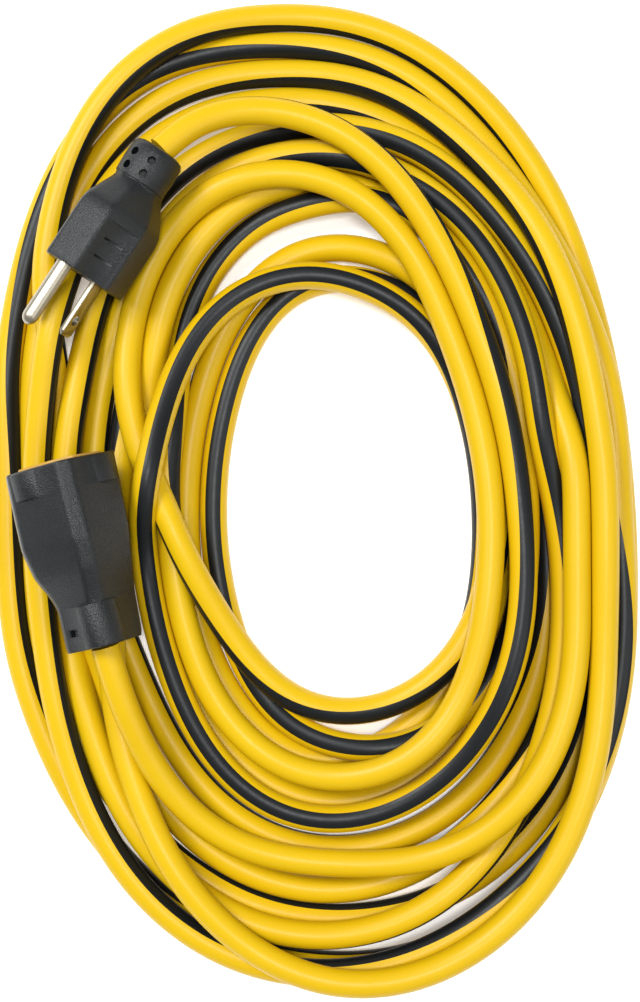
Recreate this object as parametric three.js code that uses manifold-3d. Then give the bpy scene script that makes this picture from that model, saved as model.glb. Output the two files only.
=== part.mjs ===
// A yellow outdoor extension cord, wound into a loose oval coil that lies flat, with its moulded plug
// and its moulded connector resting on top of the turns.
// Millimetres, +Z up. The origin is on the surface that the coil lies on, under the middle of it.
// The plug and the connector are built in their own frame: x runs from the mating face back to the
// cord, z points from the blades' centre line to the ground contact, and the groups place them.
import * as THREE from "three";
import Module from "manifold-3d";
import { mergeVertices } from "three/addons/utils/BufferGeometryUtils.js";

const wasm = await Module();
wasm.setup();

// ---------------------------------------------------------------- driving dimensions

const GAP = 0.3; // clearance between touching pieces
const CORD = { diameter: 8.4, sides: 10 };
// One insulated core, the circle that the three lie on in the bore, and where each lies on it.
const CORE = { radius: 1.25, ring: 1.9, angles: { line: -30, neutral: 210, ground: 90 } };
const STRANDS = { radius: 0.8, length: 5 };
// How a core swings over from behind its blade: share of the way to the bore, of the blade's y and z,
// and of its place in the bore.
const CORE_SWING = [
  [0.3, 0.88, 0.9, 0],
  [0.75, 0.3, 0.3, 0.7],
];
// The hollow that the cores cross behind a carrier: share of its length, then the section.
const CHAMBER = [
  [0, 9, -2.6, 3, 14.1, 2.8, 1],
  [0.42, 7.6, -3.2, 2.8, 13.1, 2.8, 1],
  [1, 4.3, -3.8, 1.4, 4.6, 2.6, 1],
];
const BORE_RADIUS = 3.7; // the bore of a moulding that the three cores run through

// Three-pin grounded pattern, 15 A 125 V.
const BLADE = { pitch: 12.7, width: 6.35, thickness: 1.5, length: 17.8, holeRadius: 1.6, holeAt: 12.2 };
const GROUND = { offset: 11.9, radius: 2.4, length: 20.8 };
const TIP_CHAMFER = 1.2;
const TAIL = 10; // length of a blade or pin held inside the moulding

const BLOCK_CORNER = 0.8; // corner radius of the carriers and of the cavities that hold them

const PLUG = {
  length: 43.5,
  cavityDepth: 13,
  cavityWidth: 17.6,
  cavityBottom: -4.8,
  cavityTop: 15.2,
  cavityTopWidth: 6,
  boreStart: 28,
  lean: 2.3, // how much further in the shoulder is on the line blade's side, at the face
  collarRadius: 8.2,
  collarStart: 31.5,
  collarChamfer: 1.6,
  position: [-70.9, 66.9, 28.0],
  heading: 56.9,
  roll: -16.6,
};
// Sections of the plug's moulding: place along x, half width, bottom, shoulder, top, half width of the
// top, radius of the corners, and how much is trimmed off the +y side.
const PLUG_SECTIONS = [
  [0, 13.2, -7, 6, 16.2, 4.9, 1.5, 0],
  [18.5, 13.2, -7, 6, 16.2, 4.9, 1.5, 0],
  [22, 12.8, -7, 5.5, 15.2, 4.8, 1.6, 0],
  [27, 10, -6.8, 3.6, 11, 4, 2, 0],
  [31, 7.6, -6.4, 2.2, 7.6, 3, 2.2, 0],
  [33, 7.2, -6.2, 2, 7.2, 3, 2.2, 0],
];
const COLLAR_HOLES = { radius: 1.3, depth: 2.6, rows: [34.4, 38.9], angles: [-22.5, 22.5, 157.5, 202.5] };
const GRIP = { start: -1, end: 17.6, depth: 0.7, width: 11 };
const GRIP_GROOVES = { starts: [6.2, 11.9], length: 0.8, depth: 1.3, width: 6.4 };

const CONNECTOR = {
  length: 55,
  faceDepth: 5,
  carrierDepth: 18,
  cavityWidth: 25,
  cavityBottom: -5.4,
  cavityTop: 15.3,
  cavityTopWidth: 7.4,
  boreStart: 40,
  position: [-76.9, 11.0, 28.3],
  heading: -75.9,
  roll: -11,
};
const CONNECTOR_SECTIONS = [
  [0, 16.1, -8, 5, 17.2, 2.2, 3, 0],
  [12, 16.6, -8, 5, 17.2, 2.2, 3, 1.1],
  [23, 16.9, -8, 4.8, 17, 2.2, 3, 2],
  [31.5, 15.2, -8, 3.6, 14.8, 2.2, 3, 1.5],
  [38, 12.1, -7.9, 1.9, 11.8, 2.2, 3, -0.9],
  [42, 10.9, -7.8, 1, 10.2, 2.2, 3, -1.6],
  [53.8, 11.2, -7.8, 1, 10.2, 2.2, 3, -0.4],
  [55, 10.6, -7.2, 0.8, 9.6, 2, 2.6, -0.2],
];
const COLLAR_CREST = { start: 42.2, end: 54.6, radius: 6.4, height: 4.6 };
const COLLAR_SLOT = { x: 49.5, length: 2.1, width: 2.6, y: 8.3, bottom: 3, top: 12 };
const PAD = { start: 0.5, end: 8.4, width: 9.6, rise: 0.9, out: 12.2 };
const FACE_STANDS_OUT = 0.7; // how far the front insert stands out of the moulding
const SLOT = { line: 7.1, neutral: 8.7, thickness: 2.2, ground: 2.6 };
const CONTACT = { width: 6.6, height: 3.6, ground: 3.8, wall: 0.5, web: 2, length: 14 };

// The coil's outer line and its hole, each as four quarter curves |x/a|^n + |y/b|^n = 1 between the
// places where the line reaches furthest right, up, left and down.
const OUTER = {
  right: [97.8, -45.8],
  top: [-6.5, 153.2],
  left: [-98.2, -5.8],
  bottom: [5.8, -153.2],
  power: [2.2, 2.9, 2.1, 2.0],
};
const HOLE = {
  right: [49.5, 2],
  top: [2, 66],
  left: [-30.5, 4],
  bottom: [4, -61.5],
  power: [2.1, 2.0, 2.1, 2.2],
};
const COIL = { height: 17, bevel: 4, pointsPerQuarter: 12 };
// Where the turns are bunched on the right, a third layer lies on the other two.
const BUNCH = { bottom: 9, top: 25, bevel: 3, insideHole: -2, insideRim: 9 };
// How far the third layer reaches to each side of a lead's end, and out past the rim.
const BUNCH_REACH = { plugInner: 20, plugOuter: 80, connector: 60, right: 120, height: 60 };

// The free stretches of the cord, from the moulding's collar to the coil that takes them up.
const LEAD_Z = COIL.height + GAP + CORD.diameter / 2;
const PLUG_LEAD = [
  [-47.0, 103.6, 28.3],
  [-44.6, 107.1, 28.2],
  [-40.6, 111.0, 27.4],
  [-35.2, 114.3, 26.0],
  [-28.6, 116.4, 24.2],
  [-21.0, 117.3, 22.6],
  [-12.3, 116.9, LEAD_Z + 0.1],
  [-3.3, 115.2, LEAD_Z],
  [5.7, 111.4, LEAD_Z],
  [14.7, 105.2, LEAD_Z],
  [23.6, 96.4, LEAD_Z],
  [31.1, 85.5, LEAD_Z],
  [37.1, 73.6, LEAD_Z],
  [41.4, 63.6, LEAD_Z],
  [44.6, 54.1, LEAD_Z],
];
const CONNECTOR_LEAD = [
  [-63.4, -42.9, 28.5],
  [-61.9, -49.0, 28.1],
  [-59.6, -56.8, 27.0],
  [-56.6, -65.4, 25.4],
  [-52.8, -74.8, 23.8],
  [-47.6, -84.6, 22.5],
  [-40.7, -93.9, LEAD_Z + 0.1],
  [-31.8, -101.4, LEAD_Z],
  [-21.4, -106.6, LEAD_Z],
  [-9.3, -109.4, LEAD_Z],
  [4.0, -110.4, LEAD_Z],
  [17.0, -110.6, LEAD_Z],
  [29.6, -109.8, LEAD_Z],
  [41.0, -106.2, LEAD_Z],
  [51.4, -99.8, LEAD_Z],
  [60.4, -91.0, LEAD_Z],
  [67.6, -81.0, LEAD_Z],
];
const LEAD_STEPS = 3; // rings between two points of a lead

const YELLOW = new THREE.MeshStandardMaterial({ color: 0xf5c80f, roughness: 0.42, metalness: 0 });
const BLACK = new THREE.MeshStandardMaterial({ color: 0x2b2f31, roughness: 0.6, metalness: 0 });
const INSERT = new THREE.MeshStandardMaterial({ color: 0xc99a3a, roughness: 0.5, metalness: 0 });
const NICKEL = new THREE.MeshStandardMaterial({ color: 0xc9c2a8, roughness: 0.25, metalness: 1 });
const BRASS = new THREE.MeshStandardMaterial({ color: 0xc8a452, roughness: 0.3, metalness: 1 });
const COPPER = new THREE.MeshStandardMaterial({ color: 0xb8713d, roughness: 0.35, metalness: 1 });
const CORE_COLOURS = { line: 0x1b1b1b, neutral: 0xe9e7df, ground: 0x2f7a3a };
const POLES = ["line", "neutral", "ground"];

// ---------------------------------------------------------------- solids

const radians = THREE.MathUtils.degToRad;

function solid(geometry) {
  const bare = geometry.clone();
  bare.deleteAttribute("normal");
  bare.deleteAttribute("uv");
  const merged = mergeVertices(bare, 1e-4);
  return new wasm.Manifold(
    new wasm.Mesh({
      numProp: 3,
      vertProperties: merged.attributes.position.array,
      triVerts: new Uint32Array(merged.index.array),
    }),
  );
}

function geometryOf(body) {
  const mesh = body.getMesh();
  const geometry = new THREE.BufferGeometry();
  geometry.setAttribute("position", new THREE.BufferAttribute(mesh.vertProperties, 3));
  geometry.setIndex(new THREE.BufferAttribute(mesh.triVerts, 1));
  geometry.computeVertexNormals();
  return geometry;
}

function cut(body, tools) {
  return tools.reduce((rest, tool) => rest.subtract(tool), body);
}

function join(bodies) {
  return bodies.reduce((whole, body) => whole.add(body));
}

function piece(name, body, material) {
  const mesh = new THREE.Mesh(geometryOf(body), material);
  mesh.name = name;
  return mesh;
}

// A box given by its lowest and highest corner.
function box([x0, y0, z0], [x1, y1, z1]) {
  const geometry = new THREE.BoxGeometry(x1 - x0, y1 - y0, z1 - z0);
  return solid(geometry.translate((x0 + x1) / 2, (y0 + y1) / 2, (z0 + z1) / 2));
}

// A cylinder along x.
function rod(radius, x0, x1, y, z, sides = 16) {
  const geometry = new THREE.CylinderGeometry(radius, radius, x1 - x0, sides);
  return solid(geometry.rotateZ(Math.PI / 2).translate((x0 + x1) / 2, y, z));
}

// The outline of a polygon, anticlockwise, with each corner [y, z, radius] rounded.
function roundedOutline(corners, steps) {
  return corners.flatMap(([y, z, radius], i) => {
    const here = new THREE.Vector2(y, z);
    const [py, pz] = corners.at(i - 1);
    const [ny, nz] = corners[(i + 1) % corners.length];
    const back = new THREE.Vector2(py, pz).sub(here).normalize();
    const ahead = new THREE.Vector2(ny, nz).sub(here).normalize();
    const half = Math.acos(THREE.MathUtils.clamp(back.dot(ahead), -1, 1)) / 2;
    const centre = back.clone().add(ahead).normalize().multiplyScalar(radius / Math.sin(half)).add(here);
    const first = here.clone().addScaledVector(back, radius / Math.tan(half)).sub(centre).angle();
    const sweep = Math.PI - 2 * half;
    return Array.from({ length: steps + 1 }, (_, k) => {
      const angle = first + (sweep * k) / steps;
      return [centre.x + radius * Math.cos(angle), centre.y + radius * Math.sin(angle)];
    });
  });
}

// The six-cornered section of a moulding or a cavity: wide at the blades, narrow at the ground side.
// With a lean, the shoulder on the positive side of y is further in and lower.
function houseSection(halfWidth, bottom, shoulder, top, halfTop, radius, trim, steps = 3, lean = 0) {
  const raised = (trim * (top - shoulder)) / (halfWidth - halfTop);
  const corners = [
    [-halfWidth, bottom, radius],
    [halfWidth - 0.2 * lean - trim, bottom, radius],
    [halfWidth - lean - trim, shoulder - 0.6 * lean + raised, radius],
    [halfTop, top, radius],
    [-halfTop, top, radius],
    [-halfWidth, shoulder, radius],
  ];
  return roundedOutline(corners, steps);
}

// A closed solid through convex sections that all have the same number of points.
function loft(stations) {
  const count = stations[0].outline.length;
  const points = stations.flatMap(({ x, outline }) => outline.map(([y, z]) => [x, y, z]));
  const faces = [];
  for (let s = 0; s + 1 < stations.length; s++) {
    for (let k = 0; k < count; k++) {
      const a = s * count + k;
      const b = s * count + ((k + 1) % count);
      faces.push([a, b, b + count], [a, b + count, a + count]);
    }
  }
  const last = (stations.length - 1) * count;
  for (let k = 1; k + 1 < count; k++) {
    faces.push([0, k + 1, k], [last, last + k, last + k + 1]);
  }
  const geometry = new THREE.BufferGeometry();
  geometry.setAttribute("position", new THREE.Float32BufferAttribute(points.flat(), 3));
  geometry.setIndex(faces.flat());
  return solid(geometry);
}

// A moulding's lean fades out towards its last section.
function moulding(sections, lean = 0) {
  const [widest, narrowest] = [sections[0][1], sections.at(-1)[1]];
  const leanOf = (halfWidth) => (lean ? (lean * (halfWidth - narrowest)) / (widest - narrowest) : 0);
  return loft(
    sections.map(([x, ...shape]) => {
      return { x, outline: houseSection(...shape, 3, leanOf(shape[0])) };
    }),
  );
}

// A straight house-shaped block, used for what fills a moulding and, a gap larger, for its cavity.
function houseBlock(x0, x1, { cavityWidth, cavityBottom, cavityTop, cavityTopWidth }, inset) {
  const shape = [
    cavityWidth / 2 - inset,
    cavityBottom + inset,
    GROUND.offset / 2 - inset,
    cavityTop - inset,
    cavityTopWidth / 2 - inset / 2,
    BLOCK_CORNER,
  ];
  const outline = houseSection(...shape, 0, 1);
  return loft([
    { x: x0, outline },
    { x: x1, outline },
  ]);
}

// ---------------------------------------------------------------- pieces of both ends

// Where each pole stands, looking at the mating face.
function poleAt(pole) {
  if (pole === "ground") return [0, GROUND.offset];
  return [pole === "line" ? BLADE.pitch / 2 : -BLADE.pitch / 2, 0];
}

// A core's place in the bore of the moulding.
function coreAt(pole) {
  const angle = radians(CORE.angles[pole]);
  return [CORE.ring * Math.cos(angle), CORE.ring * Math.sin(angle)];
}

// The stripped copper end of a core, straight behind its blade or contact.
function strandEnd(name, pole, x0) {
  const [y, z] = poleAt(pole);
  return piece(name, rod(STRANDS.radius, x0, x0 + STRANDS.length, y, z, 10), COPPER);
}

// An insulated core, from its strand end to the mouth of the moulding's bore.
function core(name, pole, x0, boreStart, x1) {
  const [y, z] = poleAt(pole);
  const [coreY, coreZ] = coreAt(pole);
  const swing = CORE_SWING.map(([share, ofY, ofZ, ofBore]) => {
    const x = x0 + (boreStart - x0) * share;
    return new THREE.Vector3(x, y * ofY + coreY * ofBore, z * ofZ + coreZ * ofBore);
  });
  const route = new THREE.CatmullRomCurve3([
    new THREE.Vector3(x0, y, z),
    ...swing,
    new THREE.Vector3(boreStart + 1, coreY, coreZ),
    new THREE.Vector3((boreStart + x1) / 2, coreY, coreZ),
    new THREE.Vector3(x1, coreY, coreZ),
  ]);
  const colour = new THREE.MeshStandardMaterial({ color: CORE_COLOURS[pole], roughness: 0.5 });
  return piece(name, tube(route, CORE.radius, 8, 14), colour);
}

function tube(route, radius, sides, steps) {
  const section = new THREE.Shape();
  for (let k = 0; k < sides; k++) {
    const angle = (2 * Math.PI * k) / sides;
    const [x, y] = [radius * Math.cos(angle), radius * Math.sin(angle)];
    if (k === 0) section.moveTo(x, y);
    else section.lineTo(x, y);
  }
  return solid(new THREE.ExtrudeGeometry(section, { steps, extrudePath: route, bevelEnabled: false }));
}

// The hollow behind the carrier in which the cores come together, and the bore to the cord's end.
function coreChamber(x0, x1, length) {
  const funnel = loft(
    CHAMBER.map(([share, ...section]) => {
      return { x: x0 + (x1 - x0) * share, outline: houseSection(...section, 0, 1) };
    }),
  );
  return [funnel, rod(BORE_RADIUS, x1 - 1, length + 1, 0, 0, 20)];
}

// ---------------------------------------------------------------- plug

function plugOvermould() {
  const { cavityDepth, collarStart, collarRadius, collarChamfer, length } = PLUG;
  const profile = [
    [0, collarStart],
    [collarRadius, collarStart],
    [collarRadius, length - collarChamfer],
    [collarRadius - collarChamfer, length],
    [0, length],
  ].map(([radius, x]) => new THREE.Vector2(radius, x));
  const collar = solid(new THREE.LatheGeometry(profile, 32).rotateZ(-Math.PI / 2));
  const cavity = houseBlock(-1, cavityDepth, PLUG, 0);
  const chamber = coreChamber(cavityDepth - 0.5, PLUG.boreStart, length);
  const tools = [cavity, ...chamber, ...collarHoles(), ...grips()];
  return piece("plug_overmould", cut(join([moulding(PLUG_SECTIONS, PLUG.lean), collar]), tools), BLACK);
}

// Two rows of blind holes above and below that let the collar flex.
function collarHoles() {
  const { radius, depth, rows, angles } = COLLAR_HOLES;
  const reach = PLUG.collarRadius - depth / 2 + 0.5;
  return rows.flatMap((x) =>
    angles.map((angle) => {
      const hole = new THREE.CylinderGeometry(radius, radius, depth + 1, 12).translate(0, reach, 0);
      return solid(hole.rotateX(radians(90 + angle)).translate(x, 0, 0));
    }),
  );
}

// A sunken finger grip with two grooves on each sloping flank.
function grips() {
  const [, halfWidth, , shoulder, top, halfTop] = PLUG_SECTIONS[0];
  return [-1, 1].flatMap((side) => {
    const lean = side > 0 ? PLUG.lean : 0;
    const [outerY, outerZ] = [halfWidth - lean, shoulder - 0.6 * lean];
    const slope = Math.atan2(top - outerZ, outerY - halfTop);
    const onFlank = (x0, x1, sunk, wide) =>
      solid(
        new THREE.BoxGeometry(x1 - x0, wide, 2 * sunk)
          .rotateX(-side * slope)
          .translate((x0 + x1) / 2, (side * (outerY + halfTop)) / 2, (top + outerZ) / 2),
      );
    const panel = onFlank(GRIP.start, GRIP.end, GRIP.depth, GRIP.width);
    const { starts, length, depth, width } = GRIP_GROOVES;
    return [panel, ...starts.map((x) => onFlank(x, x + length, depth, width))];
  });
}

// The moulded carrier that holds the blades and the ground pin, each in a slot of its own.
function plugBridge() {
  const body = houseBlock(0, PLUG.cavityDepth - GAP, PLUG, GAP);
  const through = [-1, PLUG.cavityDepth + 1];
  const slots = ["line", "neutral"].map((pole) => bladeSlot(pole, ...through));
  return cut(body, [...slots, rod(GROUND.radius + GAP, ...through, 0, GROUND.offset)]);
}

function bladeSlot(pole, x0, x1) {
  const [y] = poleAt(pole);
  const halfThickness = BLADE.thickness / 2 + GAP;
  const halfWidth = BLADE.width / 2 + GAP;
  return box([x0, y - halfThickness, -halfWidth], [x1, y + halfThickness, halfWidth]);
}

function blade(pole) {
  const { width, thickness, length, holeRadius, holeAt } = BLADE;
  const chamfer = TIP_CHAMFER;
  const shape = new THREE.Shape();
  shape.moveTo(TAIL, -width / 2);
  shape.lineTo(TAIL, width / 2);
  shape.lineTo(chamfer - length, width / 2);
  shape.lineTo(-length, width / 2 - chamfer);
  shape.lineTo(-length, chamfer - width / 2);
  shape.lineTo(chamfer - length, -width / 2);
  const hole = new THREE.Path();
  hole.absarc(-holeAt, 0, holeRadius, 0, 2 * Math.PI, true);
  shape.holes.push(hole);
  const geometry = new THREE.ExtrudeGeometry(shape, {
    depth: thickness,
    bevelEnabled: false,
    curveSegments: 8,
  });
  const [y] = poleAt(pole);
  return solid(geometry.rotateX(Math.PI / 2).translate(0, y + thickness / 2, 0));
}

function groundPin() {
  const { radius, length, offset } = GROUND;
  const nose = Array.from({ length: 6 }, (_, k) => {
    const angle = (Math.PI / 2) * (k / 5);
    return [radius * Math.sin(angle), -length + radius * (1 - Math.cos(angle))];
  });
  const profile = [...nose, [radius, TAIL], [0, TAIL]].map(([r, x]) => new THREE.Vector2(r, x));
  return solid(new THREE.LatheGeometry(profile, 20).rotateZ(-Math.PI / 2).translate(0, 0, offset));
}

function plugPieces() {
  const group = new THREE.Group();
  group.add(plugOvermould());
  group.add(piece("plug_bridge", plugBridge(), BLACK));
  group.add(piece("plug_line_blade", blade("line"), NICKEL));
  group.add(piece("plug_neutral_blade", blade("neutral"), NICKEL));
  group.add(piece("plug_ground_pin", groundPin(), NICKEL));
  for (const pole of POLES) {
    const strandStart = TAIL + GAP;
    const coreStart = strandStart + STRANDS.length + GAP;
    group.add(strandEnd(`plug_${pole}_strands`, pole, strandStart));
    group.add(core(`plug_${pole}_core`, pole, coreStart, PLUG.boreStart, PLUG.length - GAP));
  }
  return group;
}

// ---------------------------------------------------------------- connector

function connectorOvermould() {
  const depth = CONNECTOR.faceDepth + CONNECTOR.carrierDepth + GAP;
  const cavity = houseBlock(-1, depth, CONNECTOR, 0);
  const chamber = coreChamber(depth - 0.5, CONNECTOR.boreStart, CONNECTOR.length);
  const crest = rod(COLLAR_CREST.radius, COLLAR_CREST.start, COLLAR_CREST.end, 0, COLLAR_CREST.height, 32);
  const body = join([moulding(CONNECTOR_SECTIONS), crest, ...[-1, 1].map((side) => gripPad(side))]);
  return piece("connector_overmould", cut(body, [cavity, ...chamber, collarSlot()]), BLACK);
}

// A small blind slot on the -y side of the collar.
function collarSlot() {
  const { x, length, width, y, bottom, top } = COLLAR_SLOT;
  return box([x - length / 2, -y - width / 2, bottom], [x + length / 2, -y + width / 2, top]);
}

// The raised pad on a flank, just behind the mating face.
function gripPad(side) {
  const { start, end, width, rise, out } = PAD;
  const [, halfWidth, , shoulder, top, halfTop] = CONNECTOR_SECTIONS[0];
  const slope = Math.atan2(top - shoulder, halfWidth - halfTop);
  const z = shoulder + ((halfWidth - out) / (halfWidth - halfTop)) * (top - shoulder);
  const pad = new THREE.BoxGeometry(end - start, width, 2 * rise);
  return solid(pad.rotateX(-side * slope).translate((start + end) / 2, side * out, z));
}

// The front insert, with a slot for each blade and a round hole for the ground pin.
function connectorFace() {
  const body = houseBlock(-FACE_STANDS_OUT, CONNECTOR.faceDepth - GAP, CONNECTOR, GAP);
  const bladeHoles = ["line", "neutral"].map((pole) => {
    const [y] = poleAt(pole);
    const [halfThickness, half] = [SLOT.thickness / 2, SLOT[pole] / 2];
    return box([-1, y - halfThickness, -half], [CONNECTOR.faceDepth + 1, y + halfThickness, half]);
  });
  const groundHole = rod(SLOT.ground, -1, CONNECTOR.faceDepth + 1, 0, GROUND.offset);
  return cut(body, [...bladeHoles, groundHole]);
}

// The carrier behind the insert, with a channel for each spring contact.
function connectorCarrier() {
  const [x0, x1] = [CONNECTOR.faceDepth, CONNECTOR.faceDepth + CONNECTOR.carrierDepth];
  const body = houseBlock(x0, x1, CONNECTOR, GAP);
  const channels = POLES.map((pole) => {
    const [y, z] = poleAt(pole);
    const [halfY, halfZ] = contactHalves(pole, GAP);
    return box([x0 - 1, y - halfY, z - halfZ], [x1 + 1, y + halfY, z + halfZ]);
  });
  return cut(body, channels);
}

function contactHalves(pole, extra) {
  const { ground } = CONTACT;
  const [height, width] = pole === "ground" ? [ground, ground] : [CONTACT.height, CONTACT.width];
  return [height / 2 + extra, width / 2 + extra];
}

// A spring contact: two leaves joined by a web at the back.
function contact(pole) {
  const x0 = CONNECTOR.faceDepth + GAP;
  const x1 = x0 + CONTACT.length;
  const [y, z] = poleAt(pole);
  const [halfY, halfZ] = contactHalves(pole, 0);
  const block = box([x0, y - halfY, z - halfZ], [x1, y + halfY, z + halfZ]);
  const inner = halfY - CONTACT.wall;
  return cut(block, [box([x0 - 1, y - inner, z - halfZ - 1], [x1 - CONTACT.web, y + inner, z + halfZ + 1])]);
}

function connectorPieces() {
  const group = new THREE.Group();
  group.add(connectorOvermould());
  group.add(piece("connector_face", connectorFace(), INSERT));
  group.add(piece("connector_carrier", connectorCarrier(), BLACK));
  for (const pole of POLES) {
    const strandStart = CONNECTOR.faceDepth + CONTACT.length + 2 * GAP;
    const coreStart = strandStart + STRANDS.length + GAP;
    group.add(piece(`connector_${pole}_contact`, contact(pole), BRASS));
    group.add(strandEnd(`connector_${pole}_strands`, pole, strandStart));
    group.add(core(`connector_${pole}_core`, pole, coreStart, CONNECTOR.boreStart, CONNECTOR.length - GAP));
  }
  return group;
}

// ---------------------------------------------------------------- cord

// A point of a quarter-curve line, with t from 0 to 4 running anticlockwise from the right.
function ovalPoint(line, t, inset) {
  const ends = [line.right, line.top, line.left, line.bottom];
  const quarter = Math.floor(t) % 4;
  const angle = (Math.PI / 2) * (t - Math.floor(t));
  const [from, to] = [ends[quarter], ends[(quarter + 1) % 4]];
  const centre = quarter % 2 === 0 ? [to[0], from[1]] : [from[0], to[1]];
  const root = 2 / line.power[quarter];
  const [c, s] = [Math.cos(angle) ** root, Math.sin(angle) ** root];
  const x = centre[0] + (from[0] - centre[0]) * c + (to[0] - centre[0]) * s;
  const y = centre[1] + (from[1] - centre[1]) * c + (to[1] - centre[1]) * s;
  const length = Math.hypot(x, y);
  return new THREE.Vector2(x - (x / length) * inset, y - (y / length) * inset);
}

function oval(line, inset) {
  const count = 4 * COIL.pointsPerQuarter;
  return Array.from({ length: count }, (_, k) => ovalPoint(line, k / COIL.pointsPerQuarter, inset));
}

// An upright ring between two ovals, its edges bevelled.
function ring(rimInset, holeInset, bottom, top, bevel) {
  const shape = new THREE.Shape(oval(OUTER, rimInset + bevel));
  shape.holes.push(new THREE.Path(oval(HOLE, holeInset - bevel)));
  const geometry = new THREE.ExtrudeGeometry(shape, {
    depth: top - bottom - 2 * bevel,
    bevelEnabled: true,
    bevelSize: bevel,
    bevelThickness: bevel,
    bevelSegments: 2,
  });
  return solid(geometry.translate(0, 0, bottom + bevel));
}

function curve(points) {
  return new THREE.CatmullRomCurve3(points.map((p) => new THREE.Vector3(...p)), false, "centripetal");
}

// The upright prism that the third layer keeps to: from one lead's end to the other's, across each.
function bunchRange() {
  const ends = [PLUG_LEAD, CONNECTOR_LEAD].map((points) => {
    const end = curve(points).getPoint(1);
    const ahead = curve(points).getTangent(1);
    const start = new THREE.Vector2(end.x, end.y).addScaledVector(new THREE.Vector2(ahead.x, ahead.y), GAP);
    return { start, side: new THREE.Vector2(-ahead.y, ahead.x).normalize() };
  });
  const [plug, connector] = ends;
  const corners = [
    plug.start.clone().addScaledVector(plug.side, -BUNCH_REACH.plugInner),
    connector.start.clone().addScaledVector(connector.side, BUNCH_REACH.connector),
    connector.start.clone().addScaledVector(connector.side, -BUNCH_REACH.connector),
    new THREE.Vector2(BUNCH_REACH.right, 0),
    plug.start.clone().addScaledVector(plug.side, BUNCH_REACH.plugOuter),
  ];
  const options = { depth: BUNCH_REACH.height, bevelEnabled: false };
  return solid(new THREE.ExtrudeGeometry(new THREE.Shape(corners), options));
}

function coil() {
  const layers = ring(0, 0, 0, COIL.height, COIL.bevel);
  const third = ring(BUNCH.insideRim, BUNCH.insideHole, BUNCH.bottom, BUNCH.top, BUNCH.bevel);
  return layers.add(third.intersect(bunchRange()));
}

function lead(name, points) {
  const steps = LEAD_STEPS * (points.length - 1);
  return piece(name, tube(curve(points), CORD.diameter / 2, CORD.sides, steps), YELLOW);
}

// ---------------------------------------------------------------- assembly

const cord = new THREE.Group();

const plug = plugPieces();
plug.position.set(...PLUG.position);
plug.rotation.set(radians(PLUG.roll), 0, radians(PLUG.heading), "ZYX");
cord.add(plug);

const connector = connectorPieces();
connector.position.set(...CONNECTOR.position);
connector.rotation.set(radians(CONNECTOR.roll), 0, radians(CONNECTOR.heading), "ZYX");
cord.add(connector);

cord.add(lead("plug_lead", PLUG_LEAD));
cord.add(lead("connector_lead", CONNECTOR_LEAD));
cord.add(piece("cord_coil", coil(), YELLOW));

export default cord;
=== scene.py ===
"""An outdoor extension cord wound into a loose oval coil, its plug and connector lying on the turns.

Metres, +Z up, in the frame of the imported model. The camera looks straight down.
"""
import math

import bmesh
import bpy
import numpy as np
from mathutils import Matrix, Vector


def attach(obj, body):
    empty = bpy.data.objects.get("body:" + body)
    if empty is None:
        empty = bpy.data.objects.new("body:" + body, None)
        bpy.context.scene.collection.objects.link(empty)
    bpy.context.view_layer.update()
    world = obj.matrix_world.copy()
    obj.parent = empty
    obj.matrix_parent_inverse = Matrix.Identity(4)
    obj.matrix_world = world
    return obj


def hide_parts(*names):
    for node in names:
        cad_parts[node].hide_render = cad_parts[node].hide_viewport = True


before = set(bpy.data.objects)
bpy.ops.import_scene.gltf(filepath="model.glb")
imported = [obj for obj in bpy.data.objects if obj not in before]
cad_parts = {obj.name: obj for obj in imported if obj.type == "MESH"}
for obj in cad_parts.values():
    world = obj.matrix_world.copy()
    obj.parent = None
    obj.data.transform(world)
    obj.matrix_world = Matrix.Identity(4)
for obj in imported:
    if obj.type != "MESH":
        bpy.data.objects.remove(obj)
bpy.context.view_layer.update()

MM = 0.001

# ---------------------------------------------------------------- driving dimensions

CORD_DIAMETER = 0.0084
STRIPE_HALF_ANGLE = 34  # degrees of the jacket's circumference, to each side of the stripe's middle
STRIPE_DEPTH = 0.5 * MM
STRIPE_GAP = 0.02 * MM  # under the stripe, to the floor of its groove
# The points of each arc of the jacket's and the stripe's sections, and by how many degrees the arcs
# that cross the stripe stop short of its edges.
ARC_POINTS = {"jacket": 25, "groove": 7, "stripe": 9, "underside": 5}
ARC_SHORT = {"groove": 0.3, "stripe": 0.5, "underside": 0.6}

CAMERA_HEIGHT = 0.56
CAMERA_LENS = 64.7
SENSOR_WIDTH = 36
# Square lights that look at the middle of the coil: name, place, side and power.
LIGHTS = [
    ("key", (-0.70, 0.50, 1.1), 0.5, 16.5),
    ("top", (0.05, 0.05, 1.5), 0.25, 10.5),
    ("fill", (0.8, -0.4, 0.9), 0.8, 4.5),
]
SKY_STRENGTH = 0.45
FLOOR_HALF_SIDE = 4
FLOOR_GLOW = 0.28

# The colour of each material, its roughness, how metallic it is, and its specular level.
MATERIALS = {
    "jacket_yellow": ((0.60, 0.395, 0.003), 0.38, 0, 0.24),
    "stripe_black": ((0.005, 0.0065, 0.0075), 0.38, 0, 0.25),
    "moulding_black": ((0.0058, 0.0078, 0.0086), 0.34, 0, 0.38),
    "pin_plating": ((0.36, 0.33, 0.26), 0.36, 1, 0.5),
    "face_insert": ((0.50, 0.28, 0.04), 0.5, 0, 0.5),
    "brass": ((0.75, 0.53, 0.22), 0.3, 1, 0.5),
    "copper": ((0.70, 0.33, 0.16), 0.35, 1, 0.5),
    "core_black": ((0.02, 0.02, 0.02), 0.5, 0, 0.5),
    "core_white": ((0.8, 0.78, 0.72), 0.5, 0, 0.5),
    "core_green": ((0.04, 0.25, 0.08), 0.5, 0, 0.5),
    "floor": ((0.95, 0.95, 0.95), 1, 0, 0),
}
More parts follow.
